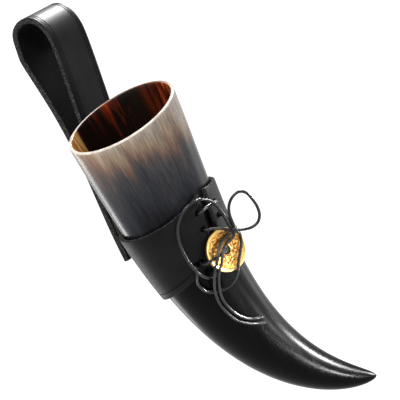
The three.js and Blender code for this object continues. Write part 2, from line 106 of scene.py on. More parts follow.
# Free stretches of lace: what their far end is, and how they lie
FREE_LACES = {
    "bow_loop_left": ("object", "loose"),
    "bow_loop_right": ("object", "loose"),
    "lace_lower_loop": ("object", "loose"),
    "lace_tail_left": ("bare", "hanging"),
    "lace_tail_right": ("bare", "hanging"),
}
# Middles of the round and the drawn-out lace holes: way round the cuff, depth below the mouth, in millimetres
LACE_HOLES = [(16, 68.6), (33.6, 71.3), (14.3, 80.2), (30.9, 80.4), (27, 98.6)]
LACE_SLOTS = [(0.6, 98.6)]

# A swept piece's vertices keep their point of the ring and their step along the sweep in these layers
RING_LAYERS = "ring_point", "ring_step"
MERGE = 1e-6
SMOOTH_STEPS = 16
CUTTER_SIDES = 32


def length_of(name, description, millimetres):
    return FloatProperty(name=name, description=description, default=millimetres * MM, unit="LENGTH")


def colour_of(name, description, default):
    return FloatVectorProperty(name=name, description=description, default=default, subtype="COLOR", min=0, max=1)


def power_of(name, description, watts):
    return FloatProperty(name=name, description=description, default=watts, unit="POWER")


class HornSizes(bpy.types.PropertyGroup):
    """Sizes and colours of the horn"""
    length: length_of("Length", "Length round the bend", 258)
    mouth: length_of("Mouth", "Diameter of the mouth", 76)
    wall: length_of("Rim wall", "Wall at the rim", 2.5)
    cavity: length_of("Cavity", "Depth of the hollow", 172)
    pale: colour_of("Pale", "Colour of the horn at its mouth", (0.50, 0.36, 0.25))
    dark: colour_of("Dark", "Colour of the horn towards its tip", (0.0018, 0.0018, 0.0021))
    # Amber is painted light: the glow where light comes through the wall into the hollow
    amber: colour_of("Amber", "Colour of the streaks inside the horn", (0.72, 0.30, 0.07))


class HolderSizes(bpy.types.PropertyGroup):
    """Sizes and colours of the leather holder"""
    thickness: length_of("Leather", "Thickness of the leather", 3)
    strap_thickness: length_of("Strap leather", "Thickness of the strap", 4)
    strap_width: length_of("Strap width", "Width of the belt strap", 30)
    crease: length_of("Crease depth", "Depth of the lines along the leather's edges", 0.4)
    leather: colour_of("Leather", "Colour of the leather's grain side", (0.0045, 0.0045, 0.0053))
    suede: colour_of("Suede", "Colour of the leather's flesh side", (0.004, 0.004, 0.004))
    lace: length_of("Lace", "Diameter of the lace", 2)


class TrimSizes(bpy.types.PropertyGroup):
    """Sizes and colours of the metal pieces"""
    medallion: length_of("Medallion", "Diameter of the medallion", 28)
    hammering: length_of("Hammering", "Depth of the hammer marks", 0.45)
    brass: colour_of("Brass", "Colour of the medallion", (0.72, 0.49, 0.16))
    steel: colour_of("Steel", "Colour of the rivets", (0.30, 0.30, 0.31))


class StageLight(bpy.types.PropertyGroup):
    """The stage's light"""
    key: power_of("Key", "Power of the soft light in front", 12)
    top: power_of("Top", "Power of the long light above", 5)
    side: power_of("Side", "Power of the soft light at the side", 0.06)
    edge: power_of("Edge", "Power of the narrow light above the side", 1.1)
    streak: power_of("Streak", "Power of the narrow light in front of the side", 0.14)
    crown: power_of("Crown", "Power of the light above the strap's bend", 1.3)
    back: power_of("Back", "Power of the light behind the horn's left side", 0.03)
    sheen: power_of("Sheen", "Power of the light behind the horn's mouth", 0.015)
    surround: FloatProperty(name="Surround", description="Strength of the pale surround on the object",
                            default=0.5, min=0, max=1)


class HornLine:
    """The horn's bent centreline, its taper and places on and off it, in metres in the horn's own frame"""
    LEAN, TURN, TURN_POWER = math.radians(-4), math.radians(70), 2.85
    SKEW, SKEW_REACH = math.radians(6), 60 * MM
    TAPER, CAVITY_TAPER = 0.583, 0.45
    CLEARANCE = 0.5 * MM
    STEPS = 600

    def __init__(self, horn, holder):
        self.length, self.mouth, self.wall, self.deep = horn.length, horn.mouth / 2, horn.wall, horn.cavity
        self.thick = holder.thickness
        step = self.length / self.STEPS
        self.points = [Vector()]
        for i in range(self.STEPS):
            angle = self.direction((i + 0.5) * step)
            self.points.append(self.points[i] + Vector((math.sin(angle), 0, -math.cos(angle))) * step)

    def direction(self, along):
        return self.LEAN + self.TURN * (along / self.length) ** self.TURN_POWER

    def centre(self, along):
        at = min(max(along / self.length, 0), 1) * self.STEPS
        i = min(int(at), self.STEPS - 1)
        return self.points[i].lerp(self.points[i + 1], at - i)

    def radius(self, along):
        return self.mouth * max(0, 1 - along / self.length) ** self.TAPER

    def hollow(self, along):
        return (self.mouth - self.wall) * max(0, 1 - along / self.deep) ** self.CAVITY_TAPER

    def around(self, along, radius, bearing):
        angle = self.direction(along) + self.SKEW * max(0, 1 - along / self.SKEW_REACH) ** 2
        side = Vector((math.cos(angle), 0, math.sin(angle)))
        return self.centre(along) + side * radius * math.sin(bearing) - Vector((0, radius * math.cos(bearing), 0))

    def cuff_face(self, depth):
        return self.radius(depth) + self.CLEARANCE + self.thick

    def bearing(self, side, depth):
        return side / self.cuff_face(depth)

    def off_cuff(self, side, depth, stand):
        return self.around(depth, self.cuff_face(depth) + stand, self.bearing(side, depth))


def horn_line():
    scene = bpy.context.scene
    return HornLine(scene.horn_sizes, scene.holder_sizes)


def smooth_line(points, spacing):
    """Even points along a smooth curve through the given points"""
    knots = [2 * points[0] - points[1], *points, 2 * points[-1] - points[-2]]
    dense = [points[0]]
    for a, b, c, d in zip(knots, knots[1:], knots[2:], knots[3:]):
        ab, bc, cd = (math.sqrt((q - p).length) for p, q in ((a, b), (b, c), (c, d)))
        out = (b - a) / ab - (c - a) / (ab + bc) + (c - b) / bc
        into = (c - b) / bc - (d - b) / (bc + cd) + (d - c) / cd
        out, into = out * bc, into * bc
        for i in range(1, SMOOTH_STEPS + 1):
            t = i / SMOOTH_STEPS
            dense.append(b + out * t + (3 * (c - b) - 2 * out - into) * t ** 2
                         + (2 * (b - c) + out + into) * t ** 3)
    return evenly(dense, spacing)


def evenly(line, spacing):
    """A polyline's points set at even steps of its length"""
    lengths = [0]
    for a, b in zip(line, line[1:]):
        lengths.append(lengths[-1] + (b - a).length)
    count = max(2, round(lengths[-1] / spacing))
    even, k = [], 0
    for i in range(count + 1):
        goal = lengths[-1] * i / count
        while k < len(line) - 2 and lengths[k + 1] < goal:
            k += 1
        step = lengths[k + 1] - lengths[k]
        even.append(line[k].lerp(line[k + 1], (goal - lengths[k]) / step if step else 0))
    return even


def edited(obj):
    """A swept piece's mesh in edit mode, and its layers ring_point and ring_step"""
    mesh = bmesh.from_edit_mesh(obj.data)
    layers = mesh.verts.layers.int
    return mesh, layers["ring_point"], layers["ring_step"]


def swept(name, count, steps, place):
    """Add a ring of points and extrude it step by step; place(point, step) sets each point of each ring.
    Returns the object in edit mode, with each vertex's place in the layers ring_point and ring_step."""
    bpy.ops.object.select_all(action="DESELECT")
    bpy.ops.mesh.primitive_circle_add(vertices=count, radius=MM, enter_editmode=True)
    obj = bpy.context.object
    obj.name = obj.data.name = name
    layers = bmesh.from_edit_mesh(obj.data).verts.layers.int
    for layer in RING_LAYERS:
        layers.new(layer)
    mesh, point_layer, step_layer = edited(obj)
    mesh.verts.ensure_lookup_table()
    for i in range(count):
        mesh.verts[i][point_layer] = i
    for step in range(steps):
        if step:
            bpy.ops.mesh.extrude_region_move()
        mesh, point_layer, step_layer = edited(obj)
        for vert in mesh.verts:
            if vert.select:
                vert[step_layer] = step
                vert.co = place(vert[point_layer], step)
        bmesh.update_edit_mesh(obj.data)
    return obj


def select_ring(obj, step):
    """Select one ring of a swept piece in edit mode"""
    bpy.ops.mesh.select_all(action="DESELECT")
    mesh, _, step_layer = edited(obj)
    for vert in mesh.verts:
        vert.select = vert[step_layer] == step
    mesh.select_flush(True)
    bmesh.update_edit_mesh(obj.data)


def paint_rings(obj, chosen):
    """Give each face of a swept piece the material slot that chosen(points, steps) names"""
    mesh, point_layer, step_layer = edited(obj)
    for face in mesh.faces:
        face.material_index = chosen([v[point_layer] for v in face.verts], [v[step_layer] for v in face.verts])
    bmesh.update_edit_mesh(obj.data)


def close_piece(obj):
    """Merge doubles, turn the faces outwards and leave edit mode"""
    bpy.ops.mesh.select_all(action="SELECT")
    bpy.ops.mesh.remove_doubles(threshold=MERGE)
    bpy.ops.mesh.normals_make_consistent(inside=False)
    bpy.ops.object.mode_set(mode="OBJECT")
    for layer in RING_LAYERS:
        obj.data.attributes.remove(obj.data.attributes[layer])


def pick(obj):
    """Make a piece the active one and the only one selected"""
    bpy.ops.object.select_all(action="DESELECT")
    obj.select_set(True)
    bpy.context.view_layer.objects.active = obj


def set_in_place(obj):
    """Turn and move a piece from the horn's own frame to its place, with the place in its mesh"""
    pick(obj)
    obj.matrix_world = Matrix.Translation(HORN_PLACE) @ Matrix.Rotation(HORN_FACING, 4, "Z") @ obj.matrix_world
    bpy.ops.object.transform_apply(location=True, rotation=True, scale=True)


def finish_piece(obj, body, slot, materials, *nodes, smooth=math.radians(40)):
    """Shade a piece, give it its materials and let it ride on its body in the place of its nodes"""
    set_in_place(obj)
    if obj.type == "MESH":
        bpy.ops.object.shade_smooth_by_angle(angle=smooth)
    for material in materials:
        obj.data.materials.append(material)
    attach(obj, body)
    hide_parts(*nodes)


class Nodes:
    """Places shader nodes from left to right and links them"""
    def __init__(self, tree):
        self.tree, self.count = tree, 0

    def add(self, kind, inputs=None, **settings):
        node = self.tree.nodes.new(kind)
        node.location = (self.count * 180, 0)
        self.count += 1
        for name, value in settings.items():
            setattr(node, name, value)
        for name, value in (inputs or {}).items():
            socket = node.inputs[name]
            if isinstance(value, bpy.types.NodeSocket):
                self.tree.links.new(value, socket)
            else:
                socket.default_value = value
        return node

    def math(self, operation, a, b, clamp=False):
        return self.add("ShaderNodeMath", {0: a, 1: b}, operation=operation, use_clamp=clamp).outputs[0]

    def times(self, a, b):
        return self.math("MULTIPLY", a, b)

    def plus(self, a, b, clamp=False):
        return self.math("ADD", a, b, clamp)

    def vector(self, operation, a, b, output="Vector"):
        return self.add("ShaderNodeVectorMath", {0: a, 1: b}, operation=operation).outputs[output]

    def mix(self, share, a, b):
        a, b = (c if isinstance(c, bpy.types.NodeSocket) else (*c, 1) for c in (a, b))
        return self.add("ShaderNodeMix", {0: share, 6: a, 7: b}, data_type="RGBA").outputs[2]

    def ramp(self, value, stops):
        node = self.add("ShaderNodeValToRGB", {"Fac": value})
        while len(node.color_ramp.elements) < len(stops):
            node.color_ramp.elements.new(1)
        for element, (at, colour) in zip(node.color_ramp.elements, stops):
            element.position = at
            element.color = (*colour, 1)
        return node.outputs["Color"]

    def spread(self, value, low, high, to_low=0.0, to_high=1.0):
        node = self.add("ShaderNodeMapRange", {"Value": value, "From Min": low, "From Max": high,
                                               "To Min": to_low, "To Max": to_high})
        return node.outputs["Result"]

    def noise(self, vector, scale, detail=3.0, roughness=0.5, distortion=0.0):
        return self.add("ShaderNodeTexNoise", {"Vector": vector, "Scale": scale, "Detail": detail,
                                               "Roughness": roughness, "Distortion": distortion}).outputs["Fac"]

    def stretched(self, vector, scale):
        return self.add("ShaderNodeMapping", {"Vector": vector, "Scale": scale}).outputs["Vector"]


def nodes_of(owner):
    """The cleared shader nodes of a material or a world"""
    owner.use_nodes = True
    owner.node_tree.nodes.clear()
    return Nodes(owner.node_tree)


def group_of(name, inputs, outputs):
    """A new shader node group with its inputs and its outputs, which are values, and the means to fill it"""
    tree = bpy.data.node_groups.new(name, "ShaderNodeTree")
    for socket, kind, default in inputs:
        made = tree.interface.new_socket(socket, in_out="INPUT", socket_type=kind)
        if default is not None:
            made.default_value = default
    for socket in outputs:
        tree.interface.new_socket(socket, in_out="OUTPUT", socket_type="NodeSocketFloat")
    nodes = Nodes(tree)
    return tree, nodes, nodes.add("NodeGroupInput").outputs


def grain_group():
    """Leather grain: pebbles, pores and soft patches"""
    tree, n, given = group_of(
        "leather_grain", [("Vector", "NodeSocketVector", None), ("Pebble size", "NodeSocketFloat", 900.0)],
        ["Height", "Patch", "Pores"])
    place = given["Vector"]
    bent = n.vector("ADD", place, n.times(n.noise(place, 260.0, 2.0), 0.0008))
    cells = n.add("ShaderNodeTexVoronoi", {"Vector": bent, "Scale": given["Pebble size"]},
                  feature="DISTANCE_TO_EDGE").outputs["Distance"]
    fine = n.noise(place, 2600.0, 4.0, 0.6)
    height = n.plus(n.times(n.spread(cells, 0.0, 0.25), 0.6), n.times(fine, 0.5))
    n.add("NodeGroupOutput", {"Height": height, "Patch": n.noise(place, 45.0, 4.0, 0.55), "Pores": fine})
    return tree


def streak_group():
    """Streaks that run down the horn: broad bands, streaks and hair lines"""
    tree, n, given = group_of("horn_streaks", [("Vector", "NodeSocketVector", None)], ["Bands", "Streaks", "Hairs"])
    bands, streaks, hairs = (n.stretched(given["Vector"], (1, 1, down)) for down in (0.16, 0.07, 0.03))
    n.add("NodeGroupOutput", {"Bands": n.noise(bands, 46.0, 3.0, 0.5, 0.25),
                              "Streaks": n.noise(streaks, 170.0, 4.0, 0.6, 0.3),
                              "Hairs": n.noise(hairs, 900.0, 3.0, 0.6)})
    return tree


def new_material(name):
    """A new material, the means to fill it and the place on the piece as the material sees it"""
    material = bpy.data.materials.new(name)
    nodes = nodes_of(material)
    return material, nodes, nodes.add("ShaderNodeTexCoord").outputs["Object"]


def shade(nodes, colour, height, bump, worn, rough, **inputs):
    """The material's shader: its colour, bump of a strength and a distance, and roughness that follows the wear"""
    strength, distance = bump
    raised = nodes.add("ShaderNodeBump", {"Height": height, "Strength": strength, "Distance": distance})
    named = {key.replace("_", " ").title().replace("Ior", "IOR"): value for key, value in inputs.items()}
    named.update({"Base Color": colour, "Roughness": nodes.spread(worn, 0.3, 0.7, *rough),
                  "Normal": raised.outputs["Normal"]})
    shader = nodes.add("ShaderNodeBsdfPrincipled", named)
    nodes.add("ShaderNodeOutputMaterial", {"Surface": shader.outputs["BSDF"]})


def shared(nodes, name, made, **inputs):
    """The outputs of a shared node group, which is made at its first use"""
    tree = bpy.data.node_groups.get(name) or made()
    named = {key.replace("_", " ").capitalize(): value for key, value in inputs.items()}
    return nodes.add("ShaderNodeGroup", named, node_tree=tree).outputs


def streaks_of(nodes, place):
    return shared(nodes, "horn_streaks", streak_group, vector=place)


def seen_outright(nodes):
    """1 for camera, glossy and transmission rays, or else 0"""
    path = nodes.add("ShaderNodeLightPath").outputs
    mirrored = nodes.math("MAXIMUM", path["Is Glossy Ray"], path["Is Transmission Ray"])
    return nodes.math("MAXIMUM", path["Is Camera Ray"], mirrored)


def depth_below_mouth(nodes, place):
    """Depth below the horn's mouth in metres, as the material sees it"""
    apart = nodes.add("ShaderNodeSeparateXYZ", {"Vector": place}).outputs
    return nodes.math("SUBTRACT", HORN_PLACE.z, apart["Z"])


def across_horn(nodes, place, turn=0.0):
    """Distance from the horn's middle towards the side its tip bends to, or turned from there, in metres"""
    facing = HORN_FACING + turn
    from_mouth = nodes.vector("SUBTRACT", place, HORN_PLACE)
    return nodes.vector("DOT_PRODUCT", from_mouth, (math.cos(facing), math.sin(facing), 0), "Value")


def horn_outside(horn):
    """Polished horn: cream at the mouth, streaked to grey and slate, black to the tip"""
    material, n, place = new_material("horn_polished")
    streak, across, tone = streaks_of(n, place), across_horn(n, place), depth_below_mouth(n, place)
    for kind, drift in (("Bands", 0.075), ("Streaks", 0.035)):
        tone = n.plus(tone, n.spread(streak[kind], 0.0, 1.0, -drift / 2, drift / 2))
    for left, right, left_drift, right_drift in ((-0.036, -0.012, 0.009, 0.0), (-0.006, 0.018, 0.0, -0.006)):
        tone = n.plus(tone, n.spread(across, left, right, left_drift, right_drift))
    colour = n.ramp(n.spread(tone, 0.0, HORN_BLACK_FROM), [
        (0.0, (0.64, 0.54, 0.45)), (0.14, horn.pale), (0.21, (0.31, 0.195, 0.15)), (0.27, (0.15, 0.124, 0.117)),
        (0.34, (0.080, 0.080, 0.088)), (0.54, (0.040, 0.042, 0.053)), (0.70, (0.014, 0.014, 0.017)),
        (0.86, horn.dark)])
    lines = n.times(n.spread(streak["Hairs"], 0.35, 0.65, 0.72, 1.16),
                    n.spread(streak["Streaks"], 0.35, 0.62, 0.62, 1.12))
    shade(n, n.vector("MULTIPLY", colour, lines), streak["Hairs"], (0.02, 0.0002), streak["Streaks"], (0.2, 0.32),
          specular_ior_level=0.06)
    return material


def horn_inside(horn):
    """The hollow: nearly black, with red and amber streaks where light comes through the wall"""
    material, n, place = new_material("horn_hollow")
    streak, across, depth = streaks_of(n, place), across_horn(n, place), depth_below_mouth(n, place)
    # Painted light: the red glow where light comes through the wall, in streaks, stronger on the right wall and
    # fading with depth below the mouth
    lit = n.times(n.spread(streak["Streaks"], 0.46, 0.68), n.spread(streak["Bands"], 0.42, 0.64))
    right_wall_glow = n.times(n.spread(across, 0.016, 0.032, 0.0, 0.8), n.spread(streak["Streaks"], 0.34, 0.6))
    glow = n.times(n.plus(lit, right_wall_glow, clamp=True), n.spread(depth, 0.0, 0.075, 1.0, 0.0))
    red = n.ramp(glow, [(0.0, (0.006, 0.003, 0.002)), (0.3, (0.11, 0.014, 0.004)), (0.7, (0.38, 0.06, 0.010)),
                        (1.0, (0.70, 0.22, 0.05))])
    gold = n.ramp(streak["Hairs"], [(0.40, (0.45, 0.12, 0.02)), (0.5, horn.amber), (0.60, (0.95, 0.62, 0.25))])
    # Painted light: an amber glow where light comes through the left wall near the mouth
    amber_glow = n.times(n.spread(across, -0.031, -0.028, 1.0, 0.0), n.spread(depth, 0.02, 0.045, 1.0, 0.0))
    shade(n, n.mix(n.math("POWER", amber_glow, 0.6), red, gold), streak["Hairs"], (0.1, 0.0002), streak["Hairs"],
          (0.24, 0.38), specular_ior_level=0.2)
    return material


def horn_rim():
    """The rim's cut face: pale in front, brown where the wall is darkest, with the ends of the streaks"""
    material, n, place = new_material("horn_rim")
    fleck = n.noise(place, 400.0, 3.0)
    pale = n.ramp(fleck, [(0.3, (0.52, 0.43, 0.35)), (0.62, (0.82, 0.76, 0.68))])
    brown = n.ramp(fleck, [(0.3, (0.10, 0.045, 0.02)), (0.62, (0.30, 0.17, 0.09))])
    behind = n.plus(across_horn(n, place, HORN_BROWN_TURN), n.times(fleck, 0.006))
    shade(n, n.mix(n.spread(behind, 0.022, 0.036), pale, brown), fleck, (0.1, 0.0002), fleck, (0.25, 0.4),
          specular_ior_level=0.3)
    return material


def leather(name, colour, pebbles, rough, bump, shine=0.1):
    """Grain side of black leather"""
    material, n, place = new_material(name)
    grain = shared(n, "leather_grain", grain_group, vector=place, pebble_size=pebbles)
    lifted = [min(1, c * 2 + 0.003) for c in colour]
    tint = n.mix(n.spread(grain["Patch"], 0.35, 0.7), colour, lifted)
    shade(n, tint, grain["Height"], bump, grain["Pores"], rough, specular_ior_level=shine)
    return material


def leather_edge(colour):
    """Cut edge of leather: dull, with fibres along it"""
    material, n, place = new_material("leather_cut_edge")
    fibre = n.noise(place, 1500.0, 5.0, 0.7)
    tint = n.ramp(fibre, [(0.44, colour), (0.56, (0.05, 0.048, 0.046)), (0.66, (0.22, 0.21, 0.20))])
    shade(n, tint, fibre, (0.6, 0.0004), fibre, (0.55, 0.9), specular_ior_level=0.07)
    return material


def leather_suede(colour):
    """Flesh side of leather: a soft dull nap"""
    material, n, place = new_material("leather_flesh_side")
    nap = n.noise(place, 1800.0, 5.0, 0.75)
    worn = n.times(n.spread(nap, 0.3, 0.8), n.noise(place, 90.0, 3.0))
    shade(n, n.mix(worn, colour, (0.022, 0.021, 0.020)), nap, (0.5, 0.0004), nap, (0.75, 0.95),
          specular_ior_level=0.02)
    return material


def hide(skin, holder):
    """A leather band's materials: grain side, cut edge and flesh side"""
    return [skin, leather_edge(holder.suede), leather_suede(holder.suede)]


def medallion_brass(trim):
    """Hammered brass: bright where it is rubbed, brown in its recesses"""
    material, n, place = new_material("brass_hammered")
    recess = n.add("ShaderNodeAttribute", attribute_name="recess").outputs["Fac"]
    speck = n.noise(place, 900.0, 4.0, 0.6)
    deep = n.plus(recess, n.spread(speck, 0.0, 1.0, -0.3, 0.3), clamp=True)
    colour = n.ramp(deep, [(0.06, trim.brass), (0.32, (0.54, 0.26, 0.06)), (0.68, (0.12, 0.05, 0.015))])
    shade(n, colour, speck, (0.15, 0.0002), n.spread(deep, 0.0, 0.8, 0.3, 0.7), (0.28, 0.5), metallic=1.0)
    return material


def rivet_steel(trim):
    """Dark steel with fine scratches and dull patches"""
    material, n, place = new_material("steel_dark")
    scratch = n.noise(n.stretched(place, (1, 1, 8)), 700.0, 4.0, 0.6)
    patch = n.spread(n.noise(place, 300.0, 3.0), 0.35, 0.7)
    shade(n, n.mix(patch, trim.steel, [0.45 * c for c in trim.steel]), scratch, (0.1, 0.0001), scratch, (0.28, 0.5),
          metallic=1.0)
    return material


class HORN_OT_horn(bpy.types.Operator):
    """Model the hollow horn ring by ring, from the bottom of its hollow over the rim to its tip"""
    bl_idname = "drinking_horn.horn"
    bl_label = "Horn"
    SIDES, INNER_STEPS, OUTER_STEPS = 96, 44, 84
    SMOOTH = math.radians(70)
    # The rim's rounded edges, in millimetres: drop, and distance out from the hollow's lip or in from the mouth
    LIP_EDGE = [(0.9, 0), (0.4, 0.12), (0.1, 0.4), (0, 0.8)]
    MOUTH_EDGE = [(0, 0.9), (0.1, 0.5), (0.45, 0.25)]
    # Depths at which the hollow ends, the rim's outer edge ends and the skin goes on
    HOLLOW_TO, EDGE_TO, SKIN_FROM = 1.2 * MM, 1 * MM, 2 * MM
    LIP_RINGS = 2

    def execute(self, context):
        horn, line = context.scene.horn_sizes, horn_line()
        profile = [(line.deep, 0.0)]
        for i in range(1, self.INNER_STEPS + 1):
            share = i / self.INNER_STEPS
            along = line.deep * (1 - share ** 2 * (2 - share))
            if along > self.HOLLOW_TO:
                profile.append((along, line.hollow(along)))
        self.inside_to = len(profile) + self.LIP_RINGS
        lip = line.mouth - line.wall
        profile += [(drop * MM, lip + out * MM) for drop, out in self.LIP_EDGE]
        profile += [(drop * MM, line.mouth - into * MM) for drop, into in self.MOUTH_EDGE]
        profile.append((self.EDGE_TO, line.radius(self.EDGE_TO)))
        self.rim_to = len(profile) - 1
        for i in range(1, self.OUTER_STEPS + 1):
            along = line.length * math.sin(i / self.OUTER_STEPS * math.pi / 2)
            if along > self.SKIN_FROM:
                profile.append((along, line.radius(along)))
        obj = swept("horn_body", self.SIDES, len(profile),
                    lambda point, step: line.around(*profile[step], point / self.SIDES * 2 * math.pi))
        paint_rings(obj, lambda points, steps: self.skin(max(steps)))
        close_piece(obj)
        finish_piece(obj, "horn", "horn", [horn_outside(horn), horn_inside(horn), horn_rim()], "horn",
                     smooth=self.SMOOTH)
        return {"FINISHED"}

    def skin(self, step):
        """0 for the outside, 1 for the hollow, 2 for the rim"""
        if step <= self.inside_to:
            return 1
        return 2 if step <= self.rim_to else 0


class CuffBand:
    """The flat band of the cuff as it lies round the horn: t runs along it, v down it"""
    TOP, FRONT_RISE = 72.5 * MM, 14 * MM
    LEFT_HEIGHT, RIGHT_HEIGHT = 42 * MM, 57 * MM
    GAP_SIDE, GAP_SLANT, GAP_WIDTH = 25.6 * MM, 7.3 * MM, 6.7 * MM

    def __init__(self, line):
        self.line = line

    def height(self, t):
        return self.LEFT_HEIGHT + (self.RIGHT_HEIGHT - self.LEFT_HEIGHT) * t

    def point(self, t, v, offset):
        """A place on the band, offset outwards from its inner face"""
        line = self.line
        along = self.TOP - self.FRONT_RISE * (2 * t - 1) ** 2 + v * self.height(t)
        gap = line.bearing(self.GAP_WIDTH, self.TOP)
        middle = line.bearing(self.GAP_SIDE - self.GAP_SLANT * v, self.TOP)
        return line.around(along, line.radius(along) + line.CLEARANCE + offset,
                           middle - gap / 2 - t * (2 * math.pi - gap))


class BandOutline:
    """Closed outline of a leather band across its width: grain face with creased lines, cut edges and flesh side.
    Each point is (share of the free width, distance from the nearer end of the width, far end or not, offset)."""
    ROUNDING, ROUND_SHARE = 0.55 * MM, 0.3
    CREASE_HALF, CREASE_FLOOR = 0.45 * MM, 0.35
    MIDDLE = 14
    # How a band's ends are rounded: (place from the end, inset of both faces), in roundings
    END = [(0.0, 1.0), (ROUND_SHARE, ROUND_SHARE), (1.0, 0.0)]

    def __init__(self, thick, near_creases, far_creases, depth):
        near, far = self.edge(thick, near_creases, depth), self.edge(thick, far_creases, depth)
        self.margin = max([2 * self.ROUNDING, *near_creases, *far_creases]) + MM
        across = range(1, self.MIDDLE)
        face = [(None, at, False, off) for at, off in near]
        face += [(i / self.MIDDLE, 0, False, thick) for i in across]
        face += [(None, at, True, off) for at, off in reversed(far)]
        flesh = [(None, self.ROUNDING, True, 0.0)]
        flesh += [(1 - i / self.MIDDLE, 0, False, 0.0) for i in across]
        flesh += [(None, self.ROUNDING, False, 0.0)]
        self.points = face + flesh
        last = len(face) - 1
        self.cut = {0, 1, last - 1, last}
        self.flesh_from = len(face)

    def edge(self, thick, creases, depth):
        """The face from one cut edge inwards, as (distance from the edge, offset)"""
        r, bevel = self.ROUNDING, self.ROUND_SHARE * self.ROUNDING
        half, floor = self.CREASE_HALF, self.CREASE_FLOOR * self.CREASE_HALF
        points = [(0, r), (0, thick - r), (bevel, thick - bevel), (r, thick)]
        for at in creases:
            points += [(at - half, thick), (at - floor, thick - depth),
                       (at + floor, thick - depth), (at + half, thick)]
        return points

    def steps(self, end, whole, between):
        """(Place, inset of both faces) along a band: its two rounded ends, and the places between them"""
        ends = [(at * end, inset * self.ROUNDING) for at, inset in self.END]
        return ends + [(at, 0.0) for at in between] + [(whole - at, inset) for at, inset in reversed(ends)]

    def across(self, point, width):
        """Distance across a band of this width, and offset from its flesh side"""
        share, at, far, offset = self.points[point]
        if share is not None:
            at = self.margin + share * (width - 2 * self.margin)
        return (width - at if far else at), offset

    def side(self, points, steps, last):
        """0 for the grain face, 1 for a cut edge, 2 for the flesh side"""
        end = len(self.END) - 1
        if min(steps) == max(steps) or max(steps) <= end or min(steps) >= last - end:
            return 1
        if all(p >= self.flesh_from for p in points):
            return 2
        if all(p in self.cut or p >= self.flesh_from for p in points):
            return 1
        return 0


def band(name, outline, steps, place):
    """Sweep a leather band and cap its ends: place(point of the outline, place along it, inset) sets its points"""
    obj = swept(name, len(outline.points), len(steps), lambda point, step: place(point, *steps[step]))
    last = len(steps) - 1
    for step in (0, last):
        select_ring(obj, step)
        bpy.ops.mesh.edge_face_add()
    paint_rings(obj, lambda points, at: outline.side(points, at, last))
    close_piece(obj)
    return obj


def squeezed(offset, inset, thick):
    """An offset from the flesh side, kept an inset away from both faces"""
    return min(max(offset, inset), thick - inset)


def punch(obj, cutters):
    """Cut each cutter out of a piece and remove it"""
    for cutter in cutters:
        cut = obj.modifiers.new("hole", "BOOLEAN")
        cut.object, cut.operation, cut.solver = cutter, "DIFFERENCE", "EXACT"
        pick(obj)
        bpy.ops.object.modifier_apply(modifier=cut.name)
        bpy.data.objects.remove(cutter)


def round_cutter(radius, long, matrix, stretch=0.0):
    """A cutter along its own Z, drawn out along its X into a slot if it is stretched"""
    bpy.ops.object.select_all(action="DESELECT")
    bpy.ops.mesh.primitive_cylinder_add(vertices=CUTTER_SIDES, radius=radius, depth=long)
    cutter = bpy.context.object
    for vert in cutter.data.vertices:
        if abs(vert.co.x) > MERGE / 10:
            vert.co.x += math.copysign(stretch / 2, vert.co.x)
    cutter.matrix_world = matrix
    return cutter


class HORN_OT_cuff(bpy.types.Operator):
    """Model the leather cuff: a thick band round the horn, punched for its lace and its rivets"""
    bl_idname = "drinking_horn.cuff"
    bl_label = "Cuff"
    STEPS, CREASES = 150, [4.6 * MM]
    HOLE, SLOT = 3.8 * MM, 9 * MM

    def execute(self, context):
        holder, line = context.scene.holder_sizes, horn_line()
        wrap = CuffBand(line)
        outline = BandOutline(line.thick, [], self.CREASES, holder.crease)
        end = outline.ROUNDING / (2 * math.pi * line.cuff_face(wrap.TOP))
        steps = outline.steps(end, 1, [end + (1 - 2 * end) * i / self.STEPS for i in range(1, self.STEPS)])

        def place(point, t, inset):
            down, offset = outline.across(point, wrap.height(t))
            return wrap.point(t, down / wrap.height(t), squeezed(offset, inset, line.thick))

        obj = band("cuff_leather", outline, steps, place)
        punch(obj, self.lace_cutters(line) + StrapFold(line, holder).rivet_cutters(True))
        skin = leather("leather_satin_black", holder.leather, 1100.0, (0.42, 0.58), (0.18, 0.0002))
        finish_piece(obj, "holder", "cuff_leather", hide(skin, holder), "cuff")
        return {"FINISHED"}

    def lace_cutters(self, line):
        cutters = []
        for (side, depth), long in [(p, self.HOLE) for p in LACE_HOLES] + [(p, self.SLOT) for p in LACE_SLOTS]:
            side, depth = side * MM, depth * MM
            matrix = (Matrix.Translation(line.off_cuff(side, depth, -line.thick / 2))
                      @ Matrix.Rotation(line.bearing(side, depth), 4, "Z") @ Matrix.Rotation(math.pi / 2, 4, "X"))
            cutters.append(round_cutter(self.HOLE / 2, 4 * line.thick, matrix, long - self.HOLE))
        return cutters


